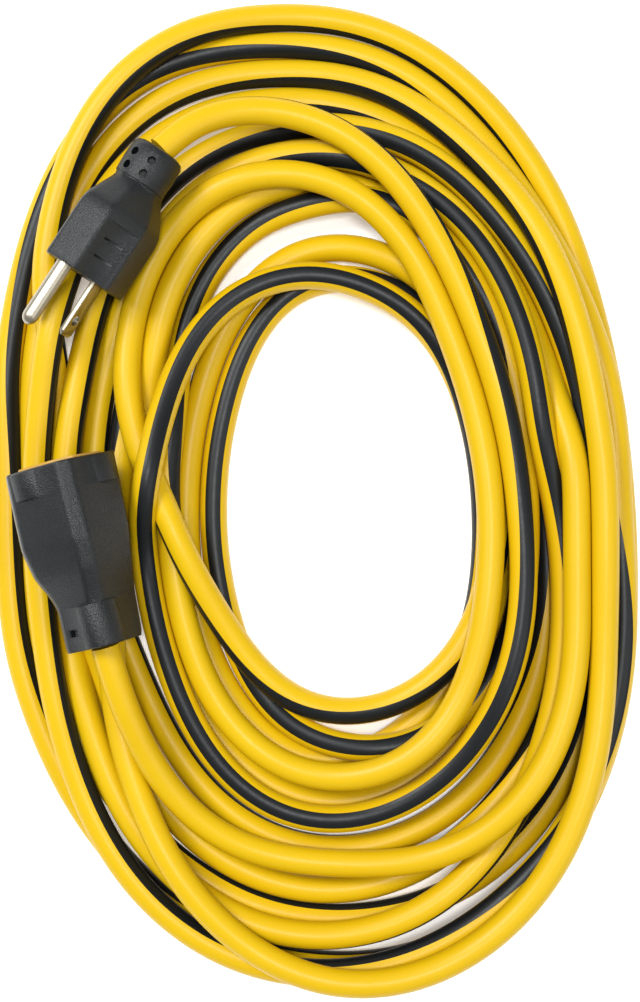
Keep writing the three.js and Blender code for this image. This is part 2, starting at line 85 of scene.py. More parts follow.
# The fine grain of each: its scale, strength and depth, and how far its roughness varies.
GRAINS = {
    "jacket_yellow": (900, 0.12, 0.2 * MM, 0.05),
    "stripe_black": (900, 0.12, 0.2 * MM, 0.05),
    "moulding_black": (2600, 0.5, 0.4 * MM, 0.08),
    "pin_plating": (3000, 0.06, 0.1 * MM, 0.06),
    "face_insert": (1500, 0.2, 0.2 * MM, 0),
    "brass": (2000, 0.1, 0.1 * MM, 0.06),
    "copper": (2500, 0.2, 0.2 * MM, 0.05),
    "core_black": (1500, 0.1, 0.1 * MM, 0),
    "core_white": (1500, 0.1, 0.1 * MM, 0),
    "core_green": (1500, 0.1, 0.1 * MM, 0),
}
JACKET_DRIFT = {"colour": (0.57, 0.35, 0.0025), "scale": 25}
# The material of each CAD node that stays, by a part of its name. The first that fits is taken.
NODE_MATERIALS = [
    ("contact", "brass"), ("strands", "copper"), ("connector_face", "face_insert"),
    ("line_core", "core_black"), ("neutral_core", "core_white"), ("ground_core", "core_green"),
    ("", "moulding_black"),
]
# The angle in degrees over which an edge is shaded sharp.
SHARP_OVER = {"cord": 40, "moulding": 38, "node": 35}

REPLACED = {
    "plug_lead", "connector_lead", "cord_coil", "plug_overmould", "plug_ground_pin", "plug_line_blade",
    "plug_neutral_blade", "connector_overmould",
}
LINE_SIDE = 1  # the side of the plug's y axis that the line blade is on

# The mouldings, in millimetres, each in its own frame: x runs from the mating face back to the cord,
# z from the blades' line to the ground contact. A section is its place along x, half width, bottom,
# shoulder, top, half width of the top, the radius of its corners, and how much is trimmed off its +y side.
PLUG_AT = ((-70.9, 66.9, 28.0), 56.9, -16.6)
PLUG_SECTIONS = [
    (0, 13.2, -7, 6, 16.2, 4.9, 1.9, 0),
    (18.2, 13.2, -7, 6, 16.2, 4.9, 1.9, 0),
    (21.5, 12.9, -7, 5.6, 15.4, 4.8, 2.4, 0),
    (27, 10, -6.8, 3.6, 11, 4, 3.1, 0),
    (30.5, 7.7, -6.4, 2.2, 7.8, 3.4, 3.3, 0),
    (33, 7.2, -6.2, 2, 7.2, 3.2, 3.2, 0),
]
PLUG_LEAN = 2.3  # how much further in its shoulder is on the side of the line blade, at the face
LEAN_AT_FOOT = 0.2  # the share of the lean by which the bottom edge goes in
LEAN_DROP = 0.6  # the share of it by which the shoulder comes down
PLUG_COLLAR = [
    (29, 0), (29, 6.6), (30.6, 7.5), (31.8, 7.75), (32, 8.1),
    (37, 8.35), (41.8, 8.2), (43, 7.5), (43.5, 6.4), (43.5, 0),
]
COLLAR_HOLES = {"rows": (34.4, 38.9), "angles": (-22.5, 22.5, 157.5, 202.5), "radius": 1.3, "depth": 4.2}
SCOOP = {"start": -1, "end": 17.6, "depth": 1.15, "radius": 15.2, "shift": 0.5}
SCOOP_GROOVES = {"at": (6.6, 12.3), "half_thickness": 0.36, "radius": 4.0, "sink": 1.4}
PIN = {"offset": 11.9, "radius": 2.4, "length": 20.8, "tail": 10, "nose": 3.0}
BLADE = {
    "side": 6.35, "half_width": 3.175, "half_thickness": 0.75, "length": 17.8,
    "hole": 1.6, "hole_at": 12.2, "corner": 0.2,
}
BLADE_TIP = {"length": 1.3, "narrower": 0.8, "thinner": 0.45}
CONNECTOR_AT = ((-76.9, 11.0, 28.3), -75.9, -11)
CONNECTOR_SECTIONS = [
    (0, 16.1, -8, 5, 17.2, 2.2, 3, 0),
    (12, 16.6, -8, 5, 17.2, 2.2, 3, 1.1),
    (23, 16.9, -8, 4.8, 17, 2.2, 3, 2),
    (31.5, 15.2, -8, 3.6, 14.8, 2.2, 3, 1.5),
    (38, 12.1, -7.9, 1.9, 11.8, 2.2, 3, -0.9),
    (42, 10.9, -7.8, 1, 10.2, 2.2, 3, -1.6),
    (53.8, 11.2, -7.8, 1, 10.2, 2.2, 3, -0.4),
    (55, 11, -7.6, 1, 10, 2.2, 3, -0.2),
]
# What fills each moulding from the front: depth, half width, bottom, shoulder, top, half width of the top.
PLUG_CAVITY = (13, 8.8, -4.8, 5.95, 15.2, 3.0)
CONNECTOR_CAVITY = (23.3, 12.5, -5.4, 5.95, 15.3, 3.7)
CAVITY_CORNER = 0.8
COLLAR_CREST = {"start": 42.2, "end": 55, "radius": 6.4, "height": 4.6, "edge": 0.4}
COLLAR_SLOT = {
    "at": 49.5, "length": 2.1, "width": 2.7, "side": 8.3, "height": 4.2, "depth": 2.4, "corner": 0.4,
}
BARREL = {"end": 8.4, "radius": 9, "shift": 3.6, "rise": 1.3, "edge": 0.3}
FRONT_ROUNDING = {"plug": 0.6, "connector": 0.5}
EDGE_ROUNDING = {"plug": 0.22, "connector": 0.25, "blade": 0.12}
EDGE_ANGLE = 32  # an edge under this many degrees isn't rounded
SECTION_STEP = 0.5  # between the sections that a moulding is blended through
CUT_PAST = 1  # how far a cutting body starts outside what it cuts
THINNEST = 0.01  # the radius at which a turned body is closed

# The coil's outer line: four quarter curves |x/a|^n + |y/b|^n = 1 between its furthest points.
OUTER_ENDS = [(0.0978, -0.0458), (-0.0065, 0.1532), (-0.0982, -0.0058), (0.0058, -0.1532)]
OUTER_POWERS = [2.2, 2.9, 2.1, 2.0]

# The cord's free stretches, from each moulding's collar to the coil.
PLUG_LEAD = [
    (-0.0470, 0.1036, 0.0283), (-0.0446, 0.1071, 0.0282), (-0.0406, 0.1110, 0.0274),
    (-0.0352, 0.1143, 0.0260), (-0.0286, 0.1164, 0.0242), (-0.0210, 0.1173, 0.0226),
    (-0.0123, 0.1169, 0.0216), (-0.0033, 0.1152, 0.0215), (0.0057, 0.1114, 0.0215),
    (0.0147, 0.1052, 0.0215), (0.0236, 0.0964, 0.0215), (0.0311, 0.0855, 0.0215),
    (0.0371, 0.0736, 0.0215), (0.0414, 0.0636, 0.0215), (0.0446, 0.0541, 0.0215),
]
CONNECTOR_LEAD = [
    (-0.0634, -0.0429, 0.0285), (-0.0619, -0.0490, 0.0281), (-0.0596, -0.0568, 0.0270),
    (-0.0566, -0.0654, 0.0254), (-0.0528, -0.0748, 0.0238), (-0.0476, -0.0846, 0.0225),
    (-0.0407, -0.0939, 0.0215), (-0.0318, -0.1014, 0.0215), (-0.0214, -0.1066, 0.0215),
    (-0.0093, -0.1094, 0.0215), (0.0040, -0.1104, 0.0215), (0.0170, -0.1106, 0.0215),
    (0.0296, -0.1098, 0.0215), (0.0410, -0.1062, 0.0215), (0.0514, -0.0998, 0.0215),
    (0.0604, -0.0910, 0.0215), (0.0676, -0.0810, 0.0215),
]

# The coil's hole, in the same way.
HOLE_ENDS = [(0.0495, 0.0020), (0.0020, 0.0660), (-0.0305, 0.0040), (0.0040, -0.0615)]
HOLE_POWERS = [2.1, 2.0, 2.1, 2.2]

# How each turn lies at sixteen places, from the top of the coil and going clockwise: how far out it
# is from the hole's line to the outer one, in hundredths, the layer that it is laid in, and where
# its stripe faces, which is 0 for up, 90 for outwards and -90 for inwards.
TURNS = [
    (
        [55.5, 34, 19.5, 20, 26, 32, 35.5, 41, 45, 43, 35.5, 32.5, 31.5, 30.5, 26, 17],
        "3333333333333332",
        [115, 75, 40, 32, 23, 8, 5, 3, 0, 0, -8, -16, -16, -17, -8, 0],
    ),
    (
        [3.7, 1.5, 4, 5, 5, 6.5, 9.5, 15, 21, 19, 18, 16, 15, 14, 12, 11],
        "2100000000000000",
        [0, -5, -20, -50, -80, -85, -95, -130, -200, -250, -280, -285, -290, -290, -270, -240],
    ),
    (
        [14, 15, 13, 10, 10, 10, 8.5, 6, 3.7, 4.5, 10.5, 19, 29, 43, 48.5, 48],
        "0000011111222222",
        [-230, -240, -250, -260, -275, -290, -300, -335, -333, -300, -285, -275, -265, -250, -235, -220],
    ),
    (
        [41, 22, 6, 6.5, 7, 8, 15.5, 25, 25.3, 26, 26, 27, 27.5, 26.5, 27, 28],
        "2222222111111111",
        [-210, -200, -190, -180, -180, -180, -180, -180, -180, -180, -150, -110, -60, -20, -5, 10],
    ),
    (
        [33.5, 39.3, 37.5, 32, 28, 27, 26, 20, 13, 8, 4.5, 5, 5, 4.5, 2.5, 2],
        "1111100000000000",
        [30, -5, -32, -75, -80, -60, -40, -20, 0, 5, 0, 0, 0, 0, 0, 0],
    ),
    (
        [2.5, 6, 10, 14, 16, 20, 25.5, 31, 35, 32, 31, 31, 31, 33, 36, 37],
        "0000000000000001",
        [5, 30, 60, 80, 90, 90, 75, 60, 45, 45, 60, 90, 120, 140, 160, 170],
    ),
    (
        [37, 41, 42, 42, 42, 46.5, 47, 50.8, 51, 51.5, 45.5, 53, 58, 56, 52, 48],
        "0001111111000111",
        [170, 120, 55, -5, -13, -40, -85, -120, -110, -85, -85, -85, -85, -85, -80, -60],
    ),
    (
        [46, 46, 49.5, 49, 50, 54, 58, 73, 79.5, 81, 73, 71, 70, 72, 89.5, 91],
        "1122111111100011",
        [-40, -10, 0, 0, 12, 30, 60, 80, 90, 110, 150, 190, 230, 260, 290, 300],
    ),
    (
        [94.5, 89.5, 93, 92, 90.5, 89, 87, 90, 86, 88, 93, 94, 93.5, 94, 92.5, 86.6],
        "0000000000000000",
        [275, 270, 270, 270, 270, 260, 260, 260, 270, 285, 290, 295, 300, 325, 362, 350],
    ),
    (
        [85.2, 84, 88, 88, 81, 88, 88, 86, 91, 93.5, 87, 81, 84, 80, 77, 69.7],
        "1111111111111111",
        [310, 280, 275, 268, 305, 368, 362, 300, 285, 300, 297, 290, 285, 285, 285, 285],
    ),
    (
        [66.7, 62, 61, 62, 64, 62, 56, 58.7, 64, 65, 64, 68, 71.5, 69, 62.5, 57.5],
        "1000000000011111",
        [310, 320, 330, 340, 350, 360, 300, 240, 190, 180, 210, 250, 270, 285, 290, 310],
    ),
    (
        [57, 60, 71, 74, 72, 75, 76, 74, 69.5, 74, 80, 83, 82, 83, 83.5, 77.3],
        "1111110000000000",
        [330, 340, 338, 342, 340, 330, 310, 290, 280, 270, 270, 270, 280, 310, 290, 280],
    ),
    (
        [75, 74.5, 83, 82, 74, 73, 87, 98, 96.5, 77, 62, 50, 44, 40, 36, 36],
        "1222222222110000",
        [305, 300, 280, 260, 240, 220, 200, 190, 180, 180, 150, 120, 80, 40, 10, 0],
    ),
    (
        [44, 46, 49, 58, 67, 67, 66, 64, 55, 53, 55, 55, 55, 55, 55, 55],
        "0000233333333333",
        [0, -60, -110, -150, -180, -180, -180, -180, -180, -180, -180, -180, -180, -180, -180, -180],
    ),
]
PLACES = 16

# Where the mouldings lie: mating face, heading towards the cord, length, half width, height of the
# underside in the middle, and how much it drops for each metre to the left of the heading.
FOOTPRINTS = [
    ((-0.0709, 0.0669), 56.9, 0.0435, 0.0132, 0.0212, 0.3),
    ((-0.0769, 0.0110), -75.9, 0.055, 0.0169, 0.0204, 0.19),
]
LAYER_RISE = 9.5 * MM
BAND_HEIGHT = 0.014  # the height at which the band's shares are exact, seen from the camera
LEAD_CLEARANCE = 0.15  # radians at each end of the coil where only the lead says how the cord lies
PLAN_STEPS = 48  # for each turn
ROUTE_STEP = 5 * MM
HELD_POINTS = 6  # the points at each end that stay in place

# How the turns settle, round by round, the last rounds more gently. In each they sink, are evened
# out and drawn back to the plan, and are then pushed apart a few times.
ROUNDS = 240
GENTLE_AFTER = 0.8  # of the rounds
SEARCH_EVERY = 6  # rounds between two searches for stretches that are near each other
SINK = {"first": 0.35 * MM, "gentle": 0.07 * MM}
PULL_BACK = {"first": 0.12, "gentle": 0.036}
PUSHES = {"first": 2, "gentle": 3}
EVEN_HEIGHT = 0.4
EVEN_SHIFT = 0.5
SAME_STRETCH = 2.2  # diameters along the cord that are never pushed apart
# Two stretches cross where they are nearer than this in plan, in diameters, and were planned further
# apart in height than this, in layers.
CROSSING_NEAR = 0.7
CROSSING_RISE = 0.4
SIDEWAYS = 0.35  # how readily turns move sideways, against upwards
PUSH_SHARE = 0.35  # of the overlap, taken away by one push
LONGEST_PUSH = 1 * MM


# ---------------------------------------------------------------- meshes

def shade(mesh, sharp_over):
    for polygon in mesh.polygons:
        polygon.use_smooth = True
    mesh.set_sharp_from_angle(angle=math.radians(sharp_over))


def new_piece(name, points, faces, slot, material):
    mesh = bpy.data.meshes.new(name)
    mesh.from_pydata([tuple(p) for p in points], [], faces)
    mesh.update()
    piece = bpy.data.objects.new(name, mesh)
    bpy.context.scene.collection.objects.link(piece)
    piece.data.materials.append(material)
    shade(mesh, SHARP_OVER["cord"])
    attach(piece, "root")
    return piece


def tube_faces(rings, sides):
    """The faces of a closed tube, its points ring after ring."""
    faces = []
    for i in range(rings - 1):
        for k in range(sides):
            a = i * sides + k
            b = i * sides + (k + 1) % sides
            faces.append((a, b, b + sides, a + sides))
    faces.append(tuple(reversed(range(sides))))
    faces.append(tuple((rings - 1) * sides + k for k in range(sides)))
    return faces


# ---------------------------------------------------------------- materials

def make_material(name):
    colour, roughness, metallic, specular = MATERIALS[name]
    material = bpy.data.materials.new(name)
    material.use_nodes = True
    shader = material.node_tree.nodes["Principled BSDF"]
    shader.inputs["Base Color"].default_value = (*colour, 1)
    shader.inputs["Roughness"].default_value = roughness
    shader.inputs["Metallic"].default_value = metallic
    shader.inputs["Specular IOR Level"].default_value = specular
    if name in GRAINS:
        add_grain(material, *GRAINS[name])
    return material


def add_noise(material, scale, detail):
    """A noise that lies still on the object."""
    nodes = material.node_tree.nodes
    place = nodes.new("ShaderNodeTexCoord")
    noise = nodes.new("ShaderNodeTexNoise")
    noise.inputs["Scale"].default_value = scale
    noise.inputs["Detail"].default_value = detail
    material.node_tree.links.new(place.outputs["Object"], noise.inputs["Vector"])
    return noise


def add_grain(material, scale, strength, depth, spread):
    """Adds a fine grain to a material: bump, and a little unevenness of its gloss."""
    nodes, links = material.node_tree.nodes, material.node_tree.links
    shader = nodes["Principled BSDF"]
    noise = add_noise(material, scale, 3)
    bump = nodes.new("ShaderNodeBump")
    bump.inputs["Strength"].default_value = strength
    bump.inputs["Distance"].default_value = depth
    links.new(noise.outputs["Fac"], bump.inputs["Height"])
    links.new(bump.outputs["Normal"], shader.inputs["Normal"])
    if spread:
        level = shader.inputs["Roughness"].default_value
        gloss = nodes.new("ShaderNodeMapRange")
        gloss.inputs["To Min"].default_value = level - spread
        gloss.inputs["To Max"].default_value = level + spread
        links.new(noise.outputs["Fac"], gloss.inputs["Value"])
        links.new(gloss.outputs["Result"], shader.inputs["Roughness"])


def add_drift(material, colour, scale):
    """Makes the colour drift slowly towards another one."""
    nodes, links = material.node_tree.nodes, material.node_tree.links
    shader = nodes["Principled BSDF"]
    noise = add_noise(material, scale, 2)
    blend = nodes.new("ShaderNodeMix")
    blend.data_type = "RGBA"
    blend.inputs["A"].default_value = shader.inputs["Base Color"].default_value
    blend.inputs["B"].default_value = (*colour, 1)
    links.new(noise.outputs["Fac"], blend.inputs["Factor"])
    links.new(blend.outputs["Result"], shader.inputs["Base Color"])


# ---------------------------------------------------------------- cord route

def line_radius(ends, powers, theta):
    """Distance of a quarter-curve line from the middle, in each direction of theta."""
    t = np.linspace(0, 4, 1600, endpoint=False)
    quarter = t.astype(int)
    angle = math.pi / 2 * (t - quarter)
    ends = np.array(ends)
    start, end = ends[quarter], ends[(quarter + 1) % 4]
    even = (quarter % 2 == 0)[:, None]
    swapped = (np.stack([end[:, 0], start[:, 1]], 1), np.stack([start[:, 0], end[:, 1]], 1))
    centre = np.where(even, *swapped)
    root = 2 / np.array(powers)[quarter]
    cos, sin = (np.cos(angle) ** root)[:, None], (np.sin(angle) ** root)[:, None]
    line = centre + (start - centre) * cos + (end - centre) * sin
    heading = np.arctan2(line[:, 1], line[:, 0])
    order = np.argsort(heading)
    return np.interp(theta, heading[order], np.hypot(*line.T)[order], period=2 * math.pi)


def band_radius(share, height, swept):
    """Distance from the middle of a place in the band, at an angle swept clockwise from the top."""
    theta = math.pi / 2 - swept
    hole = line_radius(HOLE_ENDS, HOLE_POWERS, theta)
    outer = line_radius(OUTER_ENDS, OUTER_POWERS, theta)
    seen = (CAMERA_HEIGHT - height) / (CAMERA_HEIGHT - BAND_HEIGHT)
    return (hole + (outer - hole) * share) * seen


def smooth(values, passes):
    """Each value moved towards the mean of its neighbours, the ends held."""
    for _ in range(passes):
        out = values.copy()
        out[1:-1] = 0.25 * values[:-2] + 0.5 * values[1:-1] + 0.25 * values[2:]
        values = out
    return values


def spaced(points, extra, step):
    """Points and what belongs to them, at even steps along the line."""
    along = np.concatenate([[0], np.cumsum(np.linalg.norm(np.diff(points, axis=0), axis=1))])
    at = np.linspace(0, along[-1], int(round(along[-1] / step)) + 1)
    even = np.stack([np.interp(at, along, points[:, k]) for k in range(3)], 1)
    return even, np.interp(at, along, extra)


def planned_route():
    """The route and the stripe's facing, before the turns settle on each other."""
    shares = np.concatenate([turn[0] for turn in TURNS]) / 100
    heights = np.array([int(c) for turn in TURNS for c in turn[1]]) * LAYER_RISE + CORD_DIAMETER / 2
    facings = np.concatenate([turn[2] for turn in TURNS]).astype(float)
    swept = 2 * math.pi / PLACES * np.arange(len(shares))
    first, last = [math.pi / 2 - math.atan2(end[1], end[0]) for end in (PLUG_LEAD[-1], CONNECTOR_LEAD[-1])]
    last += 2 * math.pi * (len(TURNS) - 1)
    inside = (swept > first + LEAD_CLEARANCE) & (swept < last - LEAD_CLEARANCE)
    at = np.concatenate([[first], swept[inside], [last]])
    fine = np.linspace(first, last, PLAN_STEPS * len(TURNS))
    ends = [share_of(PLUG_LEAD[-1], first), share_of(CONNECTOR_LEAD[-1], last)]
    share = smooth(np.interp(fine, at, [ends[0], *shares[inside], ends[1]]), passes=4)
    rise = np.interp(fine, at, [PLUG_LEAD[-1][2], *heights[inside], CONNECTOR_LEAD[-1][2]])
    rise = smooth(rise, passes=2)
    radius = band_radius(share, rise, fine)
    coil = np.stack([radius * np.sin(fine), radius * np.cos(fine), rise], 1)
    route = np.concatenate([PLUG_LEAD[:-1], coil, CONNECTOR_LEAD[-2::-1]])
    lead = np.linspace(facings[0], facings[1], len(PLUG_LEAD) - 1)
    tail = np.full(len(CONNECTOR_LEAD) - 1, facings[-1])
    return route, np.concatenate([lead, np.interp(fine, swept, facings), tail])


def share_of(point, swept):
    """Where a point lies in the band, from the hole's line to the outer one."""
    low = band_radius(0, point[2], swept)
    high = band_radius(1, point[2], swept)
    return (math.hypot(point[0], point[1]) - low) / (high - low)


def closest(a, b, c, d):
    """Where the segments a-b and c-d come closest, as the share of each."""
    u, v, w = b - a, d - c, a - c
    uu, uv, vv = (u * u).sum(1), (u * v).sum(1), (v * v).sum(1)
    uw, vw = (u * w).sum(1), (v * w).sum(1)
    s = np.clip((uv * vw - vv * uw) / np.maximum(uu * vv - uv * uv, 1e-15), 0, 1)
    t = np.clip((uv * s + vw) / vv, 0, 1)
    return np.clip((uv * t - uw) / uu, 0, 1), t


def settle(points, held):
    """Lets the turns sink until they rest on each other, near where they were planned."""
    plan = points.copy()
    free = np.where(held, 0.0, 1.0)
    room = np.where(held, np.inf, headroom(plan))
    for number in range(ROUNDS):
        stage = "gentle" if number > GENTLE_AFTER * ROUNDS else "first"
        if number % SEARCH_EVERY == 0:
            one, other = near_pairs(points)
        points = points.copy()
        points[:, 2] -= SINK[stage] * free
        points[:, 2] += EVEN_HEIGHT * (smooth(points[:, 2], passes=8) - points[:, 2]) * free
        moved = points[:, :2] - plan[:, :2]
        back = EVEN_SHIFT * (smooth(moved, passes=4) - moved) - PULL_BACK[stage] * moved
        points[:, :2] += back * free[:, None]
        for _ in range(PUSHES[stage]):
            points += pushed_apart(points, plan[:, 2], one, other, free)
            points[:, 2] = np.maximum(points[:, 2], CORD_DIAMETER / 2)
            points[:, 2] = np.minimum(points[:, 2], room)
    return points


def near_pairs(points):
    """The pairs of segments that are near each other in plan, but not along the cord."""
    middle = 0.5 * (points[1:, :2] + points[:-1, :2])
    square = (middle**2).sum(1)
    apart = square[:, None] + square[None, :] - 2 * middle @ middle.T
    reach = CORD_DIAMETER + ROUTE_STEP
    between = math.ceil(SAME_STRETCH * CORD_DIAMETER / ROUTE_STEP)
    return np.nonzero(np.triu(apart < reach**2, k=between))


def headroom(points):
    """How high the cord's middle may be at each point: above the coil, or under a moulding."""
    room = np.full(len(points), np.inf)
    for end, heading, length, half_width, underside, drop in FOOTPRINTS:
        along = np.array((math.cos(math.radians(heading)), math.sin(math.radians(heading))))
        place = points[:, :2] - end
        left = place @ np.array((-along[1], along[0]))
        back = place @ along
        near = np.abs(left) < half_width + CORD_DIAMETER / 2
        inside = near & (back > -CORD_DIAMETER / 2) & (back < length)
        room[inside] = (underside - drop * left - CORD_DIAMETER / 2)[inside]
    return room


def pushed_apart(points, plan_height, one, other, free):
    """The shift that takes overlapping stretches away from each other, mostly upwards."""
    s, t = closest(points[one], points[one + 1], points[other], points[other + 1])
    here = points[one] + (points[one + 1] - points[one]) * s[:, None]
    there = points[other] + (points[other + 1] - points[other]) * t[:, None]
    here_plan = plan_height[one] * (1 - s) + plan_height[one + 1] * s
    there_plan = plan_height[other] * (1 - t) + plan_height[other + 1] * t
    above = np.where(here_plan >= there_plan, 1.0, -1.0)
    away = here - there
    flat = np.hypot(away[:, 0], away[:, 1])
    rise = np.abs(here_plan - there_plan)
    crossing = (flat < CROSSING_NEAR * CORD_DIAMETER) & (rise > CROSSING_RISE * LAYER_RISE)
    needed = np.sqrt(np.maximum(CORD_DIAMETER**2 - flat**2, 0))
    gap = np.where(crossing, above * away[:, 2] - needed, np.linalg.norm(away, axis=1) - CORD_DIAMETER)
    away = np.where(crossing[:, None], above[:, None] * (0, 0, 1), away * (SIDEWAYS, SIDEWAYS, 1))
    hit = gap < 0
    i, j, s, t = one[hit], other[hit], s[hit], t[hit]
    away = away[hit] / np.maximum(np.linalg.norm(away[hit], axis=1), 1e-9)[:, None]
    parts = [(i, 1 - s, 1), (i + 1, s, 1), (j, 1 - t, -1), (j + 1, t, -1)]
    total = sum(free[index] * share * share for index, share, _ in parts)
    push = -PUSH_SHARE * gap[hit] / np.maximum(total, 1e-6)
    shift = np.zeros_like(points)
    for index, share, sign in parts:
        for axis in range(3):
            weights = sign * free[index] * share * push * away[:, axis]
            shift[:, axis] += np.bincount(index, weights=weights, minlength=len(points))
    return np.clip(shift, -LONGEST_PUSH, LONGEST_PUSH)


def curve_through(points, extra, parts):
    """A smooth line through the points, with so many steps between two of them."""
    padded = np.concatenate([2 * points[:1] - points[1:2], points, 2 * points[-1:] - points[-2:-1]])
    a, b, c, d = padded[:-3], padded[1:-2], padded[2:-1], padded[3:]
    t = (np.arange(parts) / parts)[None, :, None]
    a, b, c, d = (p[:, None, :] for p in (a, b, c, d))
    line = 0.5 * (2 * b + (c - a) * t + (2 * a - 5 * b + 4 * c - d) * t**2 + (3 * b - a - 3 * c + d) * t**3)
    line = np.concatenate([line.reshape(-1, 3), points[-1:]])
    return line, np.interp(np.arange(len(line)) / parts, np.arange(len(points)), extra)


def cord_route():
    """The middle line of the whole cord from plug to connector, and where its stripe faces."""
    route, facing = planned_route()
    route, facing = spaced(route, facing, ROUTE_STEP)
    route = smooth(route, passes=2)
    held = np.zeros(len(route), bool)
    held[:HELD_POINTS] = held[-HELD_POINTS:] = True
    settled = smooth(settle(route, held), passes=5)
    return curve_through(settled, smooth(facing, passes=12), parts=2)


# ---------------------------------------------------------------- cord pieces

def cord_frames(route, facing):
    """At each point of the route, the stripe's direction and the one a quarter turn on."""
    along = np.gradient(route, axis=0)
    along /= np.linalg.norm(along, axis=1)[:, None]
    out = np.cross((0, 0, 1), along)
    out /= np.linalg.norm(out, axis=1)[:, None]
    up = np.cross(along, out)
    angle = np.radians(facing)[:, None]
    stripe = up * np.cos(angle) + out * np.sin(angle)
    return stripe, np.cross(along, stripe)


def arc(first, last, points, radius):
    """A part of a round section, as angles from the stripe's middle with their radius."""
    return [(angle, radius) for angle in np.linspace(first, last, points)]


def carried(route, stripe, across, section):
    """The points of a section carried along the route."""
    rings = []
    for angle, radius in section:
        a = math.radians(angle)
        rings.append(route + radius * (math.cos(a) * stripe + math.sin(a) * across))
    return np.stack(rings, 1).reshape(-1, 3)


def cord_sections():
    """The sections of the jacket, which has a groove, and of the stripe that fills it."""
    radius = CORD_DIAMETER / 2
    floor = radius - STRIPE_DEPTH
    half = STRIPE_HALF_ANGLE
    groove, top, under = (half - ARC_SHORT[part] for part in ("groove", "stripe", "underside"))
    jacket = arc(half, 360 - half, ARC_POINTS["jacket"], radius)
    jacket += arc(-groove, groove, ARC_POINTS["groove"], floor)
    stripe = arc(-top, top, ARC_POINTS["stripe"], radius)
    stripe += arc(under, -under, ARC_POINTS["underside"], floor + STRIPE_GAP)
    return jacket, stripe


def make_cord(jacket_material, stripe_material):
    route, facing = cord_route()
    stripe, across = cord_frames(route, facing)
    looks = (("cord_jacket", "jacket", jacket_material), ("cord_stripe", "stripe", stripe_material))
    for section, (name, slot, material) in zip(cord_sections(), looks):
        points = carried(route, stripe, across, section)
        new_piece(name, points, tube_faces(len(route), len(section)), slot, material)
    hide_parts("plug_lead", "connector_lead", "cord_coil")
    tuple(route[0])
    [tuple(p) for p in route]


# ---------------------------------------------------------------- mouldings

def rounded_outline(corners, radius, steps=6):
    """A convex polygon, anticlockwise, with its corners rounded."""
    corners = np.array(corners, float)
    outline = []
    for i, here in enumerate(corners):
        back = corners[i - 1] - here
        ahead = corners[(i + 1) % len(corners)] - here
        back /= np.linalg.norm(back)
        ahead /= np.linalg.norm(ahead)
        half = math.acos(np.clip(back @ ahead, -1, 1)) / 2
        middle = (back + ahead) / np.linalg.norm(back + ahead)
        centre = here + middle * radius / math.sin(half)
        start = here + back * radius / math.tan(half) - centre
        first = math.atan2(start[1], start[0])
        for k in range(steps + 1):
            angle = first + (math.pi - 2 * half) * k / steps
            outline.append(centre + radius * np.array((math.cos(angle), math.sin(angle))))
    return np.array(outline)


def house(half_width, bottom, shoulder, top, half_top, radius, trim=0.0, lean=0.0):
    """The six-cornered section of a moulding: wide at the blades, narrow at the ground side.

    On the positive side of y it can be trimmed straight, and its shoulder can lean further in.
    """
    raised = trim * (top - shoulder) / (half_width - half_top)
    corners = [
        (-half_width, bottom), (half_width - LEAN_AT_FOOT * lean - trim, bottom),
        (half_width - lean - trim, shoulder - LEAN_DROP * lean + raised),
        (half_top, top), (-half_top, top), (-half_width, shoulder),
    ]
    return rounded_outline(corners, radius)


def loft(name, stations):
    """A closed body through outlines in y and z at places along x, in millimetres."""
    points = [(x, y, z) for x, outline in stations for y, z in outline]
    return body(name, np.array(points), tube_faces(len(stations), len(stations[0][1])))


def body(name, points, faces):
    """A closed body from points in millimetres, its faces all turned outwards."""
    mesh = bpy.data.meshes.new(name)
    mesh.from_pydata([tuple(p) for p in points * MM], [], faces)
    made = bpy.data.objects.new(name, mesh)
    bpy.context.scene.collection.objects.link(made)
    outward = bmesh.new()
    outward.from_mesh(mesh)
    bmesh.ops.recalc_face_normals(outward, faces=outward.faces)
    outward.to_mesh(mesh)
    outward.free()
    return made


def shell(name, sections, rim, lean=0.0):
    """The outside of a moulding, its sections blended into each other and its front edge rounded."""
    sections = np.array(sections, float)
    along = np.arange(0, sections[-1, 0] + 0.01, SECTION_STEP)
    shape = np.stack([np.interp(along, sections[:, 0], column) for column in sections.T[1:]], 1)
    shape = np.stack([smooth(column, passes=8) for column in shape.T], 1)
    narrow = np.interp(shape[:, 0], (shape[-1, 0], shape[0, 0]), (0, lean))
    stations = []
    for x in (0, 0.12 * rim, 0.4 * rim):
        inset = rim - math.sqrt(rim**2 - (rim - x) ** 2)
        half_width, bottom, shoulder, top, half_top, radius, trim = shape[0]
        row = (half_width - inset, bottom + inset, shoulder, top - inset, half_top, radius, trim, lean)
        stations.append((x, house(*row)))
    stations += [(x, house(*row, less)) for x, row, less in zip(along, shape, narrow) if x > 0.9 * rim]
    return loft(name, stations)


def lathe(name, profile, middle=(0, 0), sides=64):
    """A body turned about a line along x through a place in y and z."""
    stations = []
    for x, radius in profile:
        angle = 2 * math.pi * np.arange(sides) / sides
        ring = max(radius, THINNEST) * np.stack([np.cos(angle), np.sin(angle)], 1) + middle
        stations.append((x, ring))
    return loft(name, stations)


def combine(base, tools, operation):
    """Joins the base with the tools or cuts it by them, one after another."""
    for tool in tools:
        modifier = base.modifiers.new("combine", "BOOLEAN")
        modifier.operation = operation
        modifier.solver = "EXACT"
        modifier.object = tool
        apply_modifiers(base)
        bpy.data.objects.remove(tool)


def apply_modifiers(thing):
    bpy.context.view_layer.update()
    evaluated = thing.evaluated_get(bpy.context.evaluated_depsgraph_get())
    mesh = bpy.data.meshes.new_from_object(evaluated)
    thing.modifiers.clear()
    thing.data = mesh


